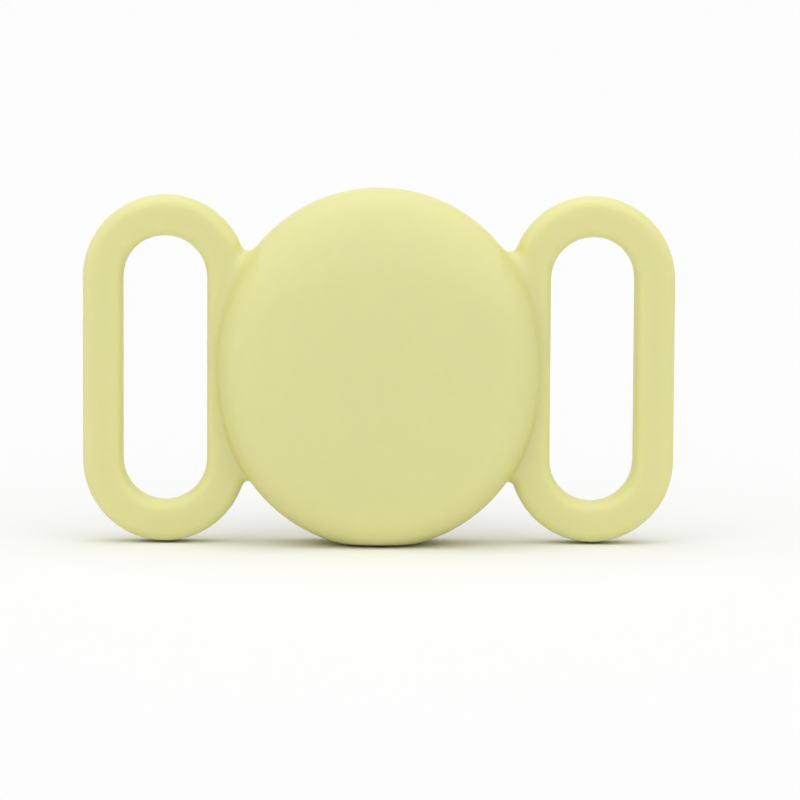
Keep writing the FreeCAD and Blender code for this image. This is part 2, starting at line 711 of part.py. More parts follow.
# Bayonet ring: moulded disc under the cover, with a skirt and three tabs that turn in under the frame's lugs
bayonet = turned_part("bayonet_ring", [
    ("0", "places.plate_front"),
    ("places.skirt_inner", "places.plate_front"),
    ("places.skirt_inner", "places.tab_front"),
    ("places.skirt_outer", "places.tab_front"),
    ("places.skirt_outer", "places.plate_back"),
    ("0", "places.plate_back"),
])
tab = turn_profile(
    bayonet, "Revolution", "tab",
    rectangle(
        "places.skirt_outer - dims.skirt_wall / 2", "places.tab_outer",
        "places.tab_front", "places.tab_back",
    ),
    "dims.tab_angle",
)
ring_pattern(bayonet, tab, BAYONET_COUNT)

# Battery cover: slightly domed steel plate bonded to the bayonet ring, with a slot for a coin
cover = turned_part("battery_cover", [
    ("0", "places.plate_back"),
    ("places.cover_radius", "places.plate_back"),
    ("places.cover_radius", "places.cover_rim", "places.cover_dome", "left"),
    ("0", "places.cover_apex"),
])
doc.recompute()
rim_depth = value("places.cover_rim")


def is_cover_rim(edge):
    """True for the edge where the cover's side meets its dome."""
    return all(abs(depth - rim_depth) < EDGE_TOLERANCE for depth in (edge.BoundBox.YMin, edge.BoundBox.YMax))


rim_names = edge_names(cover.Tip.Shape, is_cover_rim)
round_edges(cover, "cover_edge_round", rim_names, "dims.cover_edge_round")
coin_slot_outline = new_sketch(cover, "coin_slot_outline", "XZ_Plane", "-places.cover_apex")
draw_outline(coin_slot_outline, rectangle(
    "-dims.coin_slot_length / 2", "dims.coin_slot_length / 2",
    "-dims.coin_slot_width / 2", "dims.coin_slot_width / 2",
))
coin_slot = cover.newObject("PartDesign::Pocket", "coin_slot")
coin_slot.Profile = coin_slot_outline
coin_slot.Reversed = True
coin_slot.setExpression("Length", "dims.coin_slot_depth")

# Cover gasket: flat seal ring between the frame's ledge and the bayonet ring
turned_part("cover_gasket", rectangle(
    "places.gasket_inner", "places.gasket_outer",
    "places.recess_floor + dims.gasket_squeeze_gap", "places.plate_front",
))

# Recompute, check every object, and write one file for each sub-part
doc.recompute()
for item in doc.Objects:
    if "Invalid" in item.State or "Error" in item.State:
        raise RuntimeError(f"{item.Label} failed: {item.State}")
for item in sub_parts:
    if item.Shape.isNull() or not item.Shape.isValid():
        raise RuntimeError(f"{item.Label} has no valid shape")

os.makedirs("parts", exist_ok=True)
for item in sub_parts:
    item.Shape.exportStep(f"parts/{item.Label}.step")
    print(f"{item.Label}: {len(item.Shape.Solids)} solids, {item.Shape.Volume:.2f} mm3")
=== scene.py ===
import math

import bmesh
import bpy
from mathutils import Matrix, Vector


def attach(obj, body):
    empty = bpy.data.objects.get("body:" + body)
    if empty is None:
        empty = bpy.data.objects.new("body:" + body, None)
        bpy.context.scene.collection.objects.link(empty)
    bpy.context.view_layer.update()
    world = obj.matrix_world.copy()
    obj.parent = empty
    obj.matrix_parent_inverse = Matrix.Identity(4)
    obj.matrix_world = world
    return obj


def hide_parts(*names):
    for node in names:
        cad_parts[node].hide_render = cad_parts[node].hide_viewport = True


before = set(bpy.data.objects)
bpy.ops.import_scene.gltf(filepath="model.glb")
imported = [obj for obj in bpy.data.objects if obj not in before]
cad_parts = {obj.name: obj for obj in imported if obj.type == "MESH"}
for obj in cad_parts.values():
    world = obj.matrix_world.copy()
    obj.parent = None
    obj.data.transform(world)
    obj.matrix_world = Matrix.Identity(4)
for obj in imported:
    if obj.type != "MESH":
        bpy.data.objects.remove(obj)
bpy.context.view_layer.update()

# Circuit board: a ring of glass laminate under dark green solder mask, bonded to the front of the tag's
# frame. Copper tracks run under the mask, and the bare pads between them are tinned.
MASK_GREEN = (0.012, 0.085, 0.04, 1)
TRACK_GREEN = (0.035, 0.17, 0.07, 1)
TRACK_SCALE = 700
TRACK_EDGE = (0.04, 0.07)
PAD_TIN = (0.7, 0.69, 0.64, 1)
PAD_SCALE = 450
PAD_EDGE = (0.12, 0.14)
MOTTLE_SPAN = (0.3, 0.7)
GRAIN_SPAN = (0.25, 0.75)


def add_node(tree, kind, **settings):
    """Node of a kind, with its own settings made."""
    node = tree.nodes.new(kind)
    for setting, choice in settings.items():
        setattr(node, setting, choice)
    return node


def feed(tree, socket, source):
    """Link a socket to the source, or set it where the source is a plain value."""
    if isinstance(source, bpy.types.NodeSocket):
        tree.links.new(source, socket)
    else:
        socket.default_value = source


def map_range(tree, source, low, high, to_low, to_high):
    """Value that runs between two ends as the source runs between two others."""
    node = add_node(tree, "ShaderNodeMapRange")
    for socket, end in zip(node.inputs, (source, low, high, to_low, to_high)):
        feed(tree, socket, end)
    return node.outputs[0]


def combine(tree, operation, first, second):
    """Value worked out from two others."""
    node = add_node(tree, "ShaderNodeMath", operation=operation)
    feed(tree, node.inputs[0], first)
    feed(tree, node.inputs[1], second)
    return node.outputs[0]


def mix_colours(tree, mask, base, other):
    """Colour that goes from a base to another one as the mask rises."""
    node = add_node(tree, "ShaderNodeMix", data_type="RGBA")
    feed(tree, node.inputs["Factor"], mask)
    feed(tree, node.inputs["A"], base)
    feed(tree, node.inputs["B"], other)
    return node.outputs["Result"]


def object_place(tree):
    """Place on the piece in its own coordinates."""
    return add_node(tree, "ShaderNodeTexCoord").outputs["Object"]


def start_finish(name, inputs):
    """Group for a surface finish, and the nodes at its two ends."""
    group = bpy.data.node_groups.new(name, "ShaderNodeTree")
    for title, kind, start in inputs:
        group.interface.new_socket(title, in_out="INPUT", socket_type=kind).default_value = start
    group.interface.new_socket("Colour", in_out="OUTPUT", socket_type="NodeSocketColor")
    group.interface.new_socket("Roughness", in_out="OUTPUT", socket_type="NodeSocketFloat")
    group.interface.new_socket("Normal", in_out="OUTPUT", socket_type="NodeSocketVector")
    return group, group.nodes.new("NodeGroupInput"), group.nodes.new("NodeGroupOutput")


def end_finish(group, start, end, shade, height, height_span, depth):
    """Lead a finish out of its group: the shaded colour, and the gloss and bumps that follow a height."""
    tint = add_node(group, "ShaderNodeVectorMath", operation="SCALE")
    group.links.new(start.outputs["Colour"], tint.inputs[0])
    group.links.new(shade, tint.inputs["Scale"])
    group.links.new(tint.outputs[0], end.inputs["Colour"])
    gloss_low, gloss_high = start.outputs["Gloss Low"], start.outputs["Gloss High"]
    group.links.new(map_range(group, height, *height_span, gloss_low, gloss_high), end.inputs["Roughness"])
    bump = add_node(group, "ShaderNodeBump")
    group.links.new(height, bump.inputs["Height"])
    group.links.new(depth, bump.inputs["Distance"])
    group.links.new(bump.outputs["Normal"], end.inputs["Normal"])


def moulded_grain():
    """Group for moulded and cast finishes: slow mottling of the colour, uneven gloss and a fine grain."""
    group, start, end = start_finish("moulded_grain", [
        ("Colour", "NodeSocketColor", (0.8, 0.8, 0.8, 1)),
        ("Mottle", "NodeSocketFloat", 0.02),
        ("Mottle Scale", "NodeSocketFloat", 120.0),
        ("Grain Scale", "NodeSocketFloat", 5000.0),
        ("Grain Depth", "NodeSocketFloat", 0.000004),
        ("Gloss Low", "NodeSocketFloat", 0.4),
        ("Gloss High", "NodeSocketFloat", 0.5),
    ])
    place = object_place(group)
    slow = add_node(group, "ShaderNodeTexNoise")
    slow.inputs["Detail"].default_value = 3
    group.links.new(place, slow.inputs["Vector"])
    group.links.new(start.outputs["Mottle Scale"], slow.inputs["Scale"])
    fine = add_node(group, "ShaderNodeTexNoise")
    fine.inputs["Detail"].default_value = 2
    group.links.new(place, fine.inputs["Vector"])
    group.links.new(start.outputs["Grain Scale"], fine.inputs["Scale"])
    darker = combine(group, "SUBTRACT", 1, start.outputs["Mottle"])
    lighter = combine(group, "ADD", 1, start.outputs["Mottle"])
    shade = map_range(group, slow.outputs["Fac"], *MOTTLE_SPAN, darker, lighter)
    end_finish(group, start, end, shade, fine.outputs["Fac"], GRAIN_SPAN, start.outputs["Grain Depth"])
    return group


def finish_of(name, group, **values):
    """Material whose shader takes its colour, roughness and normal from a finish group with given values."""
    material = bpy.data.materials.new(name)
    material.use_nodes = True
    tree = material.node_tree
    shader = tree.nodes["Principled BSDF"]
    finish = add_node(tree, "ShaderNodeGroup", node_tree=group, name="finish")
    for title, amount in values.items():
        finish.inputs[title.replace("_", " ").title()].default_value = amount
    tree.links.new(finish.outputs["Colour"], shader.inputs["Base Color"])
    tree.links.new(finish.outputs["Roughness"], shader.inputs["Roughness"])
    tree.links.new(finish.outputs["Normal"], shader.inputs["Normal"])
    return material


def wear(node, material):
    """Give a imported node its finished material."""
    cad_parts[node].material_slots[0].material = material


grain = moulded_grain()
board_laminate = finish_of(
    "board_laminate", grain, mottle=0.06, mottle_scale=400.0, grain_scale=9000.0, grain_depth=0.000003,
    gloss_low=0.32, gloss_high=0.42,
)
board_tree = board_laminate.node_tree
board_place = object_place(board_tree)
tracks = add_node(board_tree, "ShaderNodeTexVoronoi", feature="DISTANCE_TO_EDGE")
tracks.inputs["Scale"].default_value = TRACK_SCALE
board_tree.links.new(board_place, tracks.inputs["Vector"])
pads = add_node(board_tree, "ShaderNodeTexVoronoi", feature="F1", distance="CHEBYCHEV")
pads.inputs["Scale"].default_value = PAD_SCALE
board_tree.links.new(board_place, pads.inputs["Vector"])
track_mask = map_range(board_tree, tracks.outputs["Distance"], *TRACK_EDGE, 1, 0)
pad_mask = map_range(board_tree, pads.outputs["Distance"], *PAD_EDGE, 1, 0)
mask_colour = mix_colours(board_tree, track_mask, MASK_GREEN, TRACK_GREEN)
board_colour = mix_colours(board_tree, pad_mask, mask_colour, PAD_TIN)
board_tree.links.new(board_colour, board_tree.nodes["finish"].inputs["Colour"])
board_tree.links.new(pad_mask, board_tree.nodes["Principled BSDF"].inputs["Metallic"])
wear("main_board", board_laminate)

# Parts on the board: black moulded chips, small ceramic parts, and the tinned cans of the shield and the
# crystal. All of them are soldered to the board's front face.
TAG_CENTRE = 0.01875
LINE_SPAN = (0.3, 0.7)
TARNISH_SCALE = 260
TARNISH_SPAN = (0.35, 0.65)

chip_resin = finish_of(
    "chip_resin", grain, colour=(0.022, 0.022, 0.024, 1), mottle=0.15, mottle_scale=900.0,
    grain_scale=14000.0, grain_depth=0.000004, gloss_low=0.5, gloss_high=0.68,
)
wear("board_chips", chip_resin)
passive_ceramic = finish_of(
    "passive_ceramic", grain, colour=(0.33, 0.22, 0.12, 1), mottle=0.2, mottle_scale=1200.0,
    grain_scale=16000.0, grain_depth=0.000003, gloss_low=0.38, gloss_high=0.52,
)
wear("board_passives", passive_ceramic)


def rolled_lines():
    """Group for metal with fine lines, which run across its place input and change the gloss and height."""
    group, start, end = start_finish("rolled_lines", [
        ("Place", "NodeSocketFloat", 0.0),
        ("Colour", "NodeSocketColor", (0.6, 0.6, 0.6, 1)),
        ("Line Scale", "NodeSocketFloat", 12000.0),
        ("Line Depth", "NodeSocketFloat", 0.000002),
        ("Tarnish", "NodeSocketFloat", 0.06),
        ("Gloss Low", "NodeSocketFloat", 0.2),
        ("Gloss High", "NodeSocketFloat", 0.34),
    ])
    lines = add_node(group, "ShaderNodeTexNoise", noise_dimensions="1D")
    lines.inputs["Detail"].default_value = 3
    group.links.new(start.outputs["Place"], lines.inputs["W"])
    group.links.new(start.outputs["Line Scale"], lines.inputs["Scale"])
    cloud = add_node(group, "ShaderNodeTexNoise")
    cloud.inputs["Scale"].default_value = TARNISH_SCALE
    group.links.new(object_place(group), cloud.inputs["Vector"])
    darker = combine(group, "SUBTRACT", 1, start.outputs["Tarnish"])
    shade = map_range(group, cloud.outputs["Fac"], *TARNISH_SPAN, darker, 1)
    end_finish(group, start, end, shade, lines.outputs["Fac"], LINE_SPAN, start.outputs["Line Depth"])
    return group


def metal_of(name, axis, **values):
    """Metal with lines across the axis X, Y or Z, or round the tag's axis where it is called turned."""
    material = finish_of(name, metal_lines, **values)
    tree = material.node_tree
    tree.nodes["Principled BSDF"].inputs["Metallic"].default_value = 1
    place = object_place(tree)
    if axis == "turned":
        centred = add_node(tree, "ShaderNodeMapping")
        centred.inputs["Location"].default_value = (0, 0, -TAG_CENTRE)
        centred.inputs["Scale"].default_value = (1, 0, 1)
        tree.links.new(place, centred.inputs["Vector"])
        radius = add_node(tree, "ShaderNodeVectorMath", operation="LENGTH")
        tree.links.new(centred.outputs["Vector"], radius.inputs[0])
        across = radius.outputs["Value"]
    else:
        split = add_node(tree, "ShaderNodeSeparateXYZ")
        tree.links.new(place, split.inputs["Vector"])
        across = split.outputs[axis]
    tree.links.new(across, tree.nodes["finish"].inputs["Place"])
    return material


metal_lines = rolled_lines()
tinned_steel = metal_of(
    "tinned_steel", "X", colour=(0.6, 0.6, 0.58, 1), line_scale=15000.0, tarnish=0.1,
    gloss_low=0.24, gloss_high=0.4,
)
wear("chip_shield", tinned_steel)
wear("clock_crystal", tinned_steel)

# Antennas: three arcs of bare copper foil, with fine lines along them.
# They are laid on the frame's floor, outside the board.
copper_foil = metal_of(
    "copper_foil", "turned", colour=(0.8, 0.42, 0.25, 1), line_scale=16000.0, tarnish=0.14,
    gloss_low=0.22, gloss_high=0.36,
)
wear("antenna_strips", copper_foil)

# Sounder: a pressed steel cup with a disc magnet and a pole plate, and a coil of enamelled wire.
# The coil is bonded to the inside of the shell, so that the shell itself gives the sound.
zinc_plate = metal_of(
    "zinc_plated_steel", "turned", colour=(0.52, 0.53, 0.54, 1), line_scale=9000.0, tarnish=0.1,
    gloss_low=0.28, gloss_high=0.44,
)
wear("speaker_yoke", zinc_plate)
wear("pole_plate", zinc_plate)
nickel_plate = metal_of(
    "nickel_plated_magnet", "turned", colour=(0.66, 0.64, 0.6, 1), line_scale=6000.0, line_depth=0.000001,
    tarnish=0.05, gloss_low=0.12, gloss_high=0.2,
)
wear("speaker_magnet", nickel_plate)
enamelled_wire = metal_of(
    "enamelled_wire", "Y", colour=(0.72, 0.3, 0.12, 1), line_scale=11000.0, line_depth=0.00002,
    tarnish=0.18, gloss_low=0.25, gloss_high=0.4,
)
wear("voice_coil", enamelled_wire)

# Contacts: stamped spring strips with a gold flash, two beside the cell and one arched leaf under it.
# They reach the board through slots in the frame's floor.
gold_flash = metal_of(
    "gold_flash", "Z", colour=(0.83, 0.66, 0.34, 1), line_scale=13000.0, tarnish=0.07,
    gloss_low=0.18, gloss_high=0.32,
)
wear("positive_contacts", gold_flash)
wear("negative_contact", gold_flash)

# Coin cell: a drawn can and a cap of satin steel, crimped together over a dark seal ring.
# It lies loose in the frame's well, under the battery cover.
cell_steel = metal_of(
    "cell_steel", "X", colour=(0.62, 0.62, 0.61, 1), line_scale=10000.0, tarnish=0.06,
    gloss_low=0.26, gloss_high=0.38,
)
wear("coin_cell_can", cell_steel)
cap_steel = metal_of(
    "cap_steel", "turned", colour=(0.64, 0.64, 0.63, 1), line_scale=8000.0, tarnish=0.06,
    gloss_low=0.26, gloss_high=0.38,
)
wear("coin_cell_cap", cap_steel)
cell_seal = finish_of(
    "cell_seal", grain, colour=(0.1, 0.1, 0.1, 1), mottle=0.08, mottle_scale=700.0, grain_scale=9000.0,
    gloss_low=0.5, gloss_high=0.62,
)
wear("coin_cell_seal", cell_seal)

# Frame of the tag: one matt white moulding with the cell's well, the gasket's seat and three bayonet lugs.
# It is bonded into the shell, and its rim shows round the battery cover.
frame_plastic = finish_of(
    "frame_plastic", grain, colour=(0.74, 0.74, 0.72, 1), mottle=0.02, mottle_scale=250.0,
    grain_scale=7000.0, grain_depth=0.000006, gloss_low=0.46, gloss_high=0.58,
)
wear("inner_frame", frame_plastic)

# Shell of the tag: glossy white plastic, moulded as a shallow dome with a polished face.
# The tool's polish leaves only a faint waviness in it.
white_plastic = finish_of(
    "white_plastic", grain, colour=(0.84, 0.84, 0.82, 1), mottle=0.012, mottle_scale=90.0,
    grain_scale=900.0, grain_depth=0.000003, gloss_low=0.13, gloss_high=0.2,
)
white_plastic.node_tree.nodes["Principled BSDF"].inputs["IOR"].default_value = 1.5
wear("front_shell", white_plastic)

# Bayonet ring and gasket: a dark moulded disc with a skirt and three tabs, and a flat rubber seal under it.
# The disc is bonded to the steel cover and turns with it.
ring_plastic = finish_of(
    "ring_plastic", grain, colour=(0.27, 0.27, 0.28, 1), mottle=0.03, mottle_scale=300.0,
    grain_scale=8000.0, grain_depth=0.000006, gloss_low=0.46, gloss_high=0.58,
)
wear("bayonet_ring", ring_plastic)
gasket_rubber = finish_of(
    "gasket_rubber", grain, colour=(0.03, 0.03, 0.03, 1), mottle=0.1, mottle_scale=500.0,
    grain_scale=11000.0, grain_depth=0.000005, gloss_low=0.62, gloss_high=0.78,
)
wear("cover_gasket", gasket_rubber)

# Battery cover: a pressed steel plate with a slight dome and a slot for a coin.
# Its face is brushed in circles round the middle, and the floor of the slot is painted a darker steel as
# painted shade.
COIN_SLOT_HALF_LENGTH = 0.0065
COIN_SLOT_HALF_WIDTH = 0.0009
BRUSHED_STEEL = (0.66, 0.66, 0.65, 1)
SLOT_SHADE_STEEL = (0.4, 0.4, 0.39, 1)

cover_steel = metal_of(
    "cover_steel", "turned", line_scale=9000.0, line_depth=0.0000016, tarnish=0.04,
    gloss_low=0.2, gloss_high=0.32,
)
cover_tree = cover_steel.node_tree
cover_place = add_node(cover_tree, "ShaderNodeSeparateXYZ")
cover_tree.links.new(object_place(cover_tree), cover_place.inputs["Vector"])
# Painted shade: the floor of the coin slot is painted a darker steel
in_slot = []
for axis, middle, half in (("X", 0, COIN_SLOT_HALF_LENGTH), ("Z", TAG_CENTRE, COIN_SLOT_HALF_WIDTH)):
    within = add_node(cover_tree, "ShaderNodeMath", operation="COMPARE")
    within.inputs[1].default_value = middle
    within.inputs[2].default_value = half
    cover_tree.links.new(cover_place.outputs[axis], within.inputs[0])
    in_slot.append(within.outputs[0])
slot_shade_mask = combine(cover_tree, "MULTIPLY", *in_slot)
cover_colour_with_slot_shade = mix_colours(cover_tree, slot_shade_mask, BRUSHED_STEEL, SLOT_SHADE_STEEL)
cover_tree.links.new(cover_colour_with_slot_shade, cover_tree.nodes["finish"].inputs["Colour"])
wear("battery_cover", cover_steel)

# Silicone sleeve: one soft moulding of an oval pod with a pocket, a stretchy lip and two strap loops.
# The loops sit a little low and run into the pod in soft creases, and the pod stands on a small flat foot.
# Its side walls are painted a deeper colour than its faces as painted shade, fading out where they face up.
POD_FRONT = -0.0053
POD_DEPTH = 0.0106
POD_END_RADIUS = 0.0167
POD_END_CENTRE = 0.00235
POD_SIDE_RADIUS = 0.02476
POD_DOME = 0.1821
POD_FRONT_ROUND = 0.0042
POD_SHOULDER = 0.0094
POD_LOWER_EDGE = 0.0028
POD_BACK_ROUND = 0.002
POD_BACK_INNER = 0.0145
OVAL_FADE = 0.75
POCKET_RADIUS = 0.0161
POCKET_APEX = 0.00158
POCKET_DOME = 0.2124
POCKET_ROUND = 0.0031
LIP_RADIUS = 0.0129
LIP_FRONT = 0.00924
LIP_ROUND = 0.0005
LOOP_CENTRE = 0.022715
LOOP_SPINE_RADIUS = 0.00659
LOOP_RUN_ABOVE = 0.00951
LOOP_RUN_BELOW = 0.00988
LOOP_MIDDLE_DEPTH = 0.0074
LOOP_ROOT_RADIUS = 0.0165
BAR_WIDTH = 0.00435
BAR_DEPTH = 0.0042
BAR_ROUND = 0.0008
BAR_DRAFT = 0.0001
WEB_ROUND = 0.0005
WEB_ROOT = 0.0034
NOTCH_X = 0.0128
FOOT_FRONT = 0.001
FOOT_LIFT = 0.06
SIDE_SHADE_START = 0.65
FACE_COLOUR = (0.75, 0.735, 0.32, 1)
# Deeper colour painted on the sleeve's side walls as painted shade
SIDE_SHADE_COLOUR = (0.71, 0.685, 0.18, 1)
SPIN_STEPS = 240
DOME_STEPS = 40
ROUND_STEPS = 14
BAR_ROUND_STEPS = 10
WEB_SLICES = 16
WEB_ROUND_STEPS = 8
MERGE_DISTANCE = 0.000002
SKIN_VOXEL = 0.00028
SKIN_SMOOTHING = 8
SMOOTHING_SHARE = 0.5
# Reach inside and outside the pod's edge, lowest and highest place from the tag's centre, and rounds
CREASE_SMOOTHING = (
    (0.0022, 0.0018, 0.009, 0.02, 30),
    (0.0018, 0.0013, 0.005, 0.02, 24),
    (0.0014, 0.0008, -0.006, 0.02, 20),
    (0.001, 0.0008, -0.02, -0.006, 14),
)
QUARTER = math.pi / 2
FULL_TURN = 2 * math.pi


def dome_edge(dome, edge_round, radius):
    """Depth of the centre of the round that closes a dome at its edge, and the dome's angle there."""
    lean = math.asin((radius - edge_round) / (dome - edge_round))
    return dome - (dome - edge_round) * math.cos(lean), lean


def draw_run(skin, tip, radius, depth):
    """Carry an outline straight on to a radius and depth."""
    spot = skin.verts.new((radius, POD_FRONT + depth, TAG_CENTRE))
    skin.edges.new((tip, spot))
    return spot


def draw_dome(skin, tip, apex, dome, lean, outwards):
    """Carry an outline along a dome, from its apex to its edge or back."""
    for step in range(1, DOME_STEPS + 1):
        turn = lean * (step if outwards else DOME_STEPS - step) / DOME_STEPS
        tip = draw_run(skin, tip, dome * math.sin(turn), apex + dome * (1 - math.cos(turn)))
    return tip


def draw_round(skin, tip, radius, depth, turn):
    """Carry an outline round a centre at a radius and depth."""
    centre = (radius, POD_FRONT + depth, TAG_CENTRE)
    arc = bmesh.ops.spin(skin, geom=[tip], cent=centre, axis=(0, 0, 1), angle=turn, steps=ROUND_STEPS)
    return next(item for item in arc["geom_last"] if isinstance(item, bmesh.types.BMVert))


def spin_about_tag(skin, outline):
    """Turn an outline about the tag's axis and give back all the vertices that it makes."""
    own = set(outline)
    rest = set(skin.verts).difference(own)
    edges = [edge for edge in skin.edges if own.issuperset(edge.verts)]
    bmesh.ops.spin(
        skin, geom=[*outline, *edges], cent=(0, 0, TAG_CENTRE), axis=(0, 1, 0), angle=FULL_TURN,
        steps=SPIN_STEPS, use_merge=True,
    )
    turned = [vert for vert in skin.verts if vert not in rest]
    bmesh.ops.remove_doubles(skin, verts=turned, dist=MERGE_DISTANCE)
    return [vert for vert in skin.verts if vert not in rest]


def open_edges(skin):
    """Edges with a face on one side only."""
    return [edge for edge in skin.edges if edge.is_boundary]


# Outside of the pod, spun as a round cushion
sleeve_skin = bmesh.new()
pod_round_depth, pod_lean = dome_edge(POD_DOME, POD_FRONT_ROUND, POD_END_RADIUS)
tip = sleeve_skin.verts.new((0, POD_FRONT, TAG_CENTRE))
tip = draw_dome(sleeve_skin, tip, 0, POD_DOME, pod_lean, outwards=True)
tip = draw_round(sleeve_skin, tip, POD_END_RADIUS - POD_FRONT_ROUND, pod_round_depth, QUARTER - pod_lean)
tip = draw_run(sleeve_skin, tip, POD_END_RADIUS, POD_DEPTH - POD_BACK_ROUND)
tip = draw_round(sleeve_skin, tip, POD_END_RADIUS - POD_BACK_ROUND, POD_DEPTH - POD_BACK_ROUND, QUARTER)
draw_run(sleeve_skin, tip, POD_BACK_INNER, POD_DEPTH)
pod_verts = spin_about_tag(sleeve_skin, list(sleeve_skin.verts))

side_shift = POD_SIDE_RADIUS - POD_END_RADIUS
side_angle = math.asin(POD_END_CENTRE / side_shift)
side_middle = side_shift * math.cos(side_angle)


def oval_pull(across, turn):
    """Shift that takes a spot of the round cushion to the oval of two round ends and two flatter sides."""
    if abs(turn) > side_angle:
        return 0, math.copysign(POD_END_CENTRE, turn)
    return math.copysign(side_shift * math.cos(turn) - side_middle, across), side_shift * math.sin(turn)


def edge_drop(inset, turn):
    """Change of depth that gives the even front edge a soft shoulder above and a tighter round below."""
    edge = POD_SHOULDER if turn > 0 else POD_LOWER_EDGE
    width = POD_FRONT_ROUND + (edge - POD_FRONT_ROUND) * math.sin(turn) ** 2
    wanted = math.sqrt(1 - max(0, 1 - inset / width) ** 2)
    even = math.sqrt(1 - max(0, 1 - inset / POD_FRONT_ROUND) ** 2)
    return POD_FRONT_ROUND * (even - wanted)


# The cushion drawn out to the pod's oval, with its front edge shaped
for vert in pod_verts:
    across, up = vert.co.x, vert.co.z - TAG_CENTRE
    reach = math.hypot(across, up)
    turn = math.atan2(up, abs(across))
    share = min(reach / (OVAL_FADE * POD_END_RADIUS), 1)
    share = share * share * (3 - 2 * share)
    pull_x, pull_z = oval_pull(across, turn)
    vert.co.x += pull_x * share
    vert.co.z += pull_z * share
    wider = vert.co.x ** 2 + (vert.co.z - TAG_CENTRE) ** 2 - reach ** 2
    if vert.co.y < POD_FRONT + pod_round_depth:
        vert.co.y += edge_drop(max(0, POD_END_RADIUS - reach), turn)
    vert.co.y += wider / (2 * POD_DOME) * max(0, 1 - (vert.co.y - POD_FRONT) / pod_round_depth)

# Pocket and lip, spun inside the pod and joined to its back
outside = set(sleeve_skin.verts)
pocket_round_depth, pocket_lean = dome_edge(POCKET_DOME, POCKET_ROUND, POCKET_RADIUS)
pocket_edge = POCKET_APEX + pocket_round_depth
lip_centre = LIP_RADIUS + LIP_ROUND
tip = sleeve_skin.verts.new((lip_centre + LIP_ROUND, POD_FRONT + POD_DEPTH, TAG_CENTRE))
tip = draw_run(sleeve_skin, tip, lip_centre, POD_DEPTH)
tip = draw_round(sleeve_skin, tip, lip_centre, POD_DEPTH - LIP_ROUND, QUARTER)
tip = draw_run(sleeve_skin, tip, LIP_RADIUS, LIP_FRONT + LIP_ROUND)
tip = draw_round(sleeve_skin, tip, lip_centre, LIP_FRONT + LIP_ROUND, QUARTER)
tip = draw_run(sleeve_skin, tip, POCKET_RADIUS, LIP_FRONT)
tip = draw_run(sleeve_skin, tip, POCKET_RADIUS, pocket_edge)
tip = draw_round(sleeve_skin, tip, POCKET_RADIUS - POCKET_ROUND, pocket_edge, pocket_lean - QUARTER)
draw_dome(sleeve_skin, tip, POCKET_APEX, POCKET_DOME, pocket_lean, outwards=False)
spin_about_tag(sleeve_skin, [vert for vert in sleeve_skin.verts if vert not in outside])
bmesh.ops.bridge_loops(sleeve_skin, edges=open_edges(sleeve_skin))
bmesh.ops.recalc_face_normals(sleeve_skin, faces=sleeve_skin.faces)

# Right loop: the bar's outline, a little narrower in front, spun and drawn out to an oblong
loop_skin = bmesh.new()
bar = bmesh.ops.create_circle(loop_skin, segments=4, radius=math.sqrt(0.5))
bmesh.ops.rotate(loop_skin, verts=bar["verts"], matrix=Matrix.Rotation(math.pi / 4, 3, "Z"))
bmesh.ops.scale(loop_skin, verts=bar["verts"], vec=(BAR_WIDTH, BAR_DEPTH, 1))
for vert in bar["verts"]:
    if vert.co.y < 0:
        vert.co.x -= math.copysign(BAR_DRAFT, vert.co.x)
bmesh.ops.bevel(
    loop_skin, geom=list(loop_skin.verts), offset=BAR_ROUND, affect="VERTICES", segments=BAR_ROUND_STEPS,
    profile=0.5, material=-1,
)
loop_middle_y = POD_FRONT + LOOP_MIDDLE_DEPTH
bar_place = Vector((LOOP_CENTRE + LOOP_SPINE_RADIUS, loop_middle_y, TAG_CENTRE))
bmesh.ops.translate(loop_skin, verts=list(loop_skin.verts), vec=bar_place)
loop_centre = Vector((LOOP_CENTRE, 0, TAG_CENTRE))
half_step = Matrix.Rotation(math.pi / SPIN_STEPS, 3, "Y")
bmesh.ops.rotate(loop_skin, verts=list(loop_skin.verts), cent=loop_centre, matrix=half_step)
bmesh.ops.spin(
    loop_skin, geom=[*loop_skin.verts, *loop_skin.edges], cent=loop_centre, axis=(0, 1, 0),
    angle=FULL_TURN, steps=SPIN_STEPS, use_merge=True,
)
for vert in loop_skin.verts:
    vert.co.z += LOOP_RUN_ABOVE if vert.co.z > TAG_CENTRE else -LOOP_RUN_BELOW

pod_end = Vector((0, POD_END_CENTRE))


def web_outline(loop_end, offset):
    """Outline of the web in the notch of pod and loop, at an offset from the middle of the bar's depth."""
    rounding = max(0, abs(offset) - (BAR_DEPTH / 2 - BAR_ROUND))
    bar_edge = BAR_WIDTH / 2 - BAR_DRAFT * (0.5 - offset / BAR_DEPTH)
    bar_edge += math.sqrt(BAR_ROUND ** 2 - rounding ** 2) - BAR_ROUND
    loop_reach = LOOP_SPINE_RADIUS + bar_edge + WEB_ROUND
    pod_reach = POD_END_RADIUS + WEB_ROUND
    apart = (pod_end - loop_end).length
    inwards = (pod_end - loop_end) / apart
    along = (loop_reach ** 2 - pod_reach ** 2 + apart ** 2) / (2 * apart)
    aside = math.sqrt(loop_reach ** 2 - along ** 2)
    hollow = loop_end + inwards * along + Vector((inwards.y, -inwards.x)) * aside
    to_loop = (loop_end - hollow).normalized()
    to_pod = (pod_end - hollow).normalized()
    turns = [step / WEB_ROUND_STEPS for step in range(WEB_ROUND_STEPS + 1)]
    outline = [hollow + to_loop.slerp(to_pod, turn) * WEB_ROUND for turn in turns]
    return [*outline, hollow + (to_loop + to_pod).normalized() * WEB_ROOT]


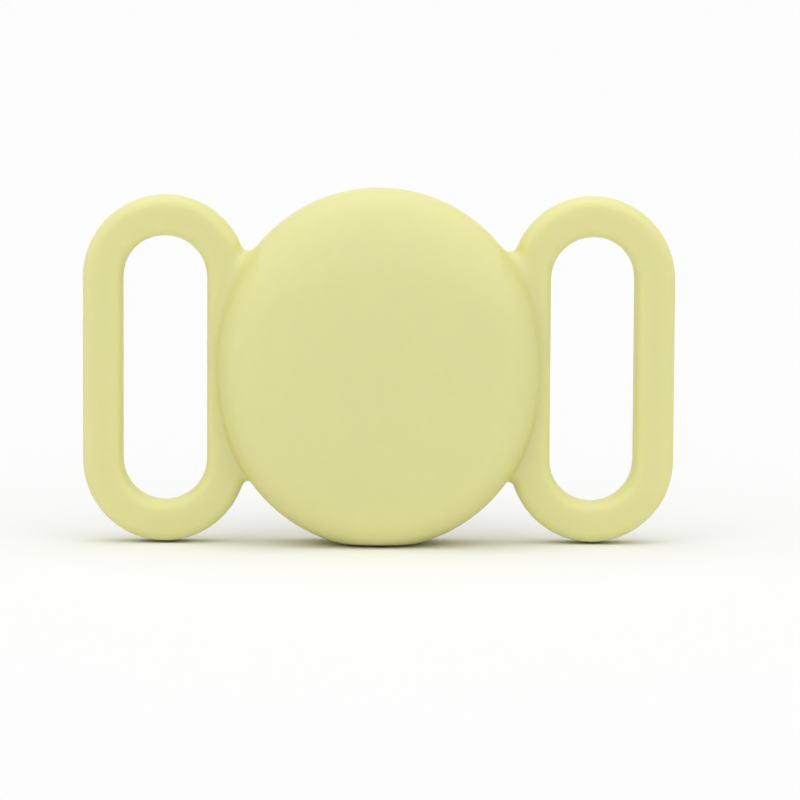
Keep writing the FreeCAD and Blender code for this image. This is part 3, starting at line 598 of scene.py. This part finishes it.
# Webs in the upper and the lower notch, lofted through the bar's depth
for side, loop_run in ((1, LOOP_RUN_ABOVE), (-1, LOOP_RUN_BELOW)):
    slices = []
    for step in range(WEB_SLICES + 1):
        offset = BAR_DEPTH * (step / WEB_SLICES - 0.5)
        ring = [
            loop_skin.verts.new((spot.x, loop_middle_y + offset, TAG_CENTRE + side * spot.y))
            for spot in web_outline(Vector((LOOP_CENTRE, loop_run)), offset)
        ]
        slices.extend(loop_skin.edges.new((ring[spot - 1], ring[spot])) for spot in range(len(ring)))
    bmesh.ops.bridge_loops(loop_skin, edges=slices)
    bmesh.ops.holes_fill(loop_skin, edges=[edge for edge in slices if edge.is_boundary])

# Root of the loop kept out of the pocket
for vert in loop_skin.verts:
    reach = math.hypot(vert.co.x, vert.co.z - TAG_CENTRE)
    if reach < LOOP_ROOT_RADIUS:
        vert.co.x *= LOOP_ROOT_RADIUS / reach
        vert.co.z = TAG_CENTRE + (vert.co.z - TAG_CENTRE) * LOOP_ROOT_RADIUS / reach


def all_of(skin):
    """Everything that a skin is made of."""
    return [*skin.verts, *skin.edges, *skin.faces]


def mesh_of(name, skin):
    """Mesh made from a skin, which is freed."""
    mesh = bpy.data.meshes.new(name)
    skin.to_mesh(mesh)
    skin.free()
    return mesh


def cut_below(skin, point, upwards):
    """Cut away what lies below a plane, and close the cut."""
    bmesh.ops.bisect_plane(skin, geom=all_of(skin), plane_co=point, plane_no=upwards, clear_inner=True)
    bmesh.ops.holes_fill(skin, edges=open_edges(skin))


# Left loop as a mirror image, and the foot cut flat on the floor and a little lifted in front
bmesh.ops.mirror(loop_skin, geom=all_of(loop_skin), axis="X", merge_dist=-1)
bmesh.ops.recalc_face_normals(loop_skin, faces=loop_skin.faces)
loop_mesh = mesh_of("strap_loops", loop_skin)
sleeve_skin.from_mesh(loop_mesh)
bpy.data.meshes.remove(loop_mesh)
cut_below(sleeve_skin, (0, 0, 0), (0, 0, 1))
cut_below(sleeve_skin, (0, FOOT_FRONT, 0), (0, FOOT_LIFT, 1))


def add_object(name, content):
    """Object in the scene for a mesh, a lamp or a camera."""
    thing = bpy.data.objects.new(name, content)
    bpy.context.scene.collection.objects.link(thing)
    return thing


def beyond_pod(spot):
    """Distance of a spot outside the pod's outline, as seen from the front."""
    across, up = abs(spot.x), abs(spot.z - TAG_CENTRE)
    if math.atan2(up, across + side_middle) > side_angle:
        return math.hypot(across, up - POD_END_CENTRE) - POD_END_RADIUS
    return math.hypot(across + side_middle, up) - POD_SIDE_RADIUS


def soften(skin, verts, rounds):
    """Smooth vertices of a skin a number of times."""
    for _ in range(rounds):
        bmesh.ops.smooth_vert(
            skin, verts=verts, factor=SMOOTHING_SHARE, use_axis_x=True, use_axis_y=True, use_axis_z=True,
        )


# Pod and loops made one skin, and softened most in the creases
sleeve_mesh = mesh_of("silicone_sleeve", sleeve_skin)
sleeve = add_object("silicone_sleeve", sleeve_mesh)
remesh = sleeve.modifiers.new("one_skin", "REMESH")
remesh.mode = "VOXEL"
remesh.voxel_size = SKIN_VOXEL
one_skin = bpy.data.meshes.new_from_object(sleeve.evaluated_get(bpy.context.evaluated_depsgraph_get()))
sleeve.modifiers.remove(remesh)
soft_skin = bmesh.new()
soft_skin.from_mesh(one_skin)
bpy.data.meshes.remove(one_skin)
soften(soft_skin, soft_skin.verts, SKIN_SMOOTHING)
for inner, outer, low, high, rounds in CREASE_SMOOTHING:
    crease = [
        vert for vert in soft_skin.verts
        if -inner < beyond_pod(vert.co) < outer
        and low < vert.co.z - TAG_CENTRE < high
        and abs(vert.co.x) > NOTCH_X
    ]
    soften(soft_skin, crease, rounds)
for face in soft_skin.faces:
    face.smooth = True
soft_skin.normal_update()
# Painted shade: side-facing vertices get a deeper colour, none where they face front or back and less where
# they face up
painted_side_shade = soft_skin.verts.layers.float.new("painted_side_shade")
for vert in soft_skin.verts:
    vert[painted_side_shade] = max(0, 1 - abs(vert.normal.y) / SIDE_SHADE_START) * min(1, 1 - vert.normal.z)
soft_skin.to_mesh(sleeve_mesh)
soft_skin.free()

silicone = finish_of(
    "silicone", grain, mottle=0.012, mottle_scale=70.0, grain_scale=6500.0, grain_depth=0.000004,
    gloss_low=0.42, gloss_high=0.52,
)
silicone_tree = silicone.node_tree
# Painted shade on the side walls, read from the vertices
side_shade = add_node(silicone_tree, "ShaderNodeAttribute", attribute_name="painted_side_shade").outputs["Fac"]
silicone_colour_with_shade = mix_colours(silicone_tree, side_shade, FACE_COLOUR, SIDE_SHADE_COLOUR)
silicone_tree.links.new(silicone_colour_with_shade, silicone_tree.nodes["finish"].inputs["Colour"])
silicone_shader = silicone_tree.nodes["Principled BSDF"]
silicone_shader.inputs["IOR"].default_value = 1.47
silicone_shader.inputs["Specular IOR Level"].default_value = 1
silicone_shader.inputs["Subsurface Weight"].default_value = 0.65
silicone_shader.inputs["Subsurface Radius"].default_value = (1.0, 0.9, 0.4)
silicone_shader.inputs["Subsurface Scale"].default_value = 0.002
sleeve_mesh.materials.append(silicone)
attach(sleeve, "holder")
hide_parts("holder_sleeve")

# Stage: a plain matt white floor under a white sky, whose light falls mostly from overhead.
# Soft lamps shine from above, from the front and from both sides, and the camera looks slightly down.
FLOOR_RADIUS = 4
FLOOR_SIDES = 96
FLOOR_DROP = 0.00002
# Name, tilt and turn in degrees, strength, and spread in degrees
LAMPS = (
    ("overhead_lamp", -4, 0, 0.3, 40),
    ("front_lamp", 40, 0, 0.72, 90),
    ("left_lamp", 55, -65, 0.28, 80),
    ("right_lamp", 55, 65, 0.21, 80),
)
HORIZON_LIGHT = 0.08
ZENITH_LIGHT = 1.06
PICTURE_PIXELS = 800
FOCAL_PIXELS = 4715
SENSOR_WIDTH = 36
NEAREST_SEEN = 0.01
AIM = Vector((0.002255, 0, 0.01544))
DISTANCE = 0.5
AZIMUTH = math.radians(-0.8)
ELEVATION = math.radians(6)
ROLL = math.radians(0.32)

floor_skin = bmesh.new()
bmesh.ops.create_circle(floor_skin, cap_ends=True, segments=FLOOR_SIDES, radius=FLOOR_RADIUS)
bmesh.ops.translate(floor_skin, verts=list(floor_skin.verts), vec=(0, 0, -FLOOR_DROP))
floor_mesh = mesh_of("floor", floor_skin)
floor = add_object("floor", floor_mesh)
floor_white = bpy.data.materials.new("floor_white")
floor_white.use_nodes = True
floor_shader = floor_white.node_tree.nodes["Principled BSDF"]
floor_shader.inputs["Base Color"].default_value = (0.9, 0.9, 0.9, 1)
floor_shader.inputs["Roughness"].default_value = 0.9
floor_shader.inputs["Specular IOR Level"].default_value = 0.1
floor_mesh.materials.append(floor_white)

for lamp_name, tilt, turn, strength, spread in LAMPS:
    lamp = bpy.data.lights.new(lamp_name, "SUN")
    lamp.energy = strength
    lamp.angle = math.radians(spread)
    add_object(lamp_name, lamp).rotation_euler = (math.radians(tilt), 0, math.radians(turn))

world = bpy.data.worlds.new("studio")
bpy.context.scene.world = world
world.use_nodes = True
sky = world.node_tree
background = sky.nodes["Background"]
background.inputs["Color"].default_value = (1, 1, 1, 1)
rays = add_node(sky, "ShaderNodeLightPath").outputs
seen = combine(sky, "MAXIMUM", rays["Is Camera Ray"], rays["Is Glossy Ray"])
seen = combine(sky, "MAXIMUM", seen, rays["Is Transmission Ray"])
direction = add_node(sky, "ShaderNodeSeparateXYZ")
sky.links.new(add_node(sky, "ShaderNodeTexCoord").outputs["Generated"], direction.inputs["Vector"])
dome_light = map_range(sky, direction.outputs["Z"], 0, 1, HORIZON_LIGHT, ZENITH_LIGHT)
sky.links.new(map_range(sky, seen, 0, 1, dome_light, 1), background.inputs["Strength"])

camera_lens = bpy.data.cameras.new("camera")
camera_lens.sensor_width = SENSOR_WIDTH
camera_lens.lens = FOCAL_PIXELS * SENSOR_WIDTH / PICTURE_PIXELS
camera_lens.clip_start = NEAREST_SEEN
camera = add_object("camera", camera_lens)
backwards = Vector((
    math.sin(AZIMUTH) * math.cos(ELEVATION), -math.cos(AZIMUTH) * math.cos(ELEVATION), math.sin(ELEVATION),
))
level = Vector((0, 0, 1)).cross(backwards).normalized()
upright = backwards.cross(level)
right = level * math.cos(ROLL) + upright * math.sin(ROLL)
upwards = upright * math.cos(ROLL) - level * math.sin(ROLL)
stand = Matrix((right, upwards, backwards)).transposed().to_4x4()
stand.translation = AIM + backwards * DISTANCE
camera.matrix_world = stand
bpy.context.scene.camera = camera
bpy.context.scene.view_settings.view_transform = "Standard"
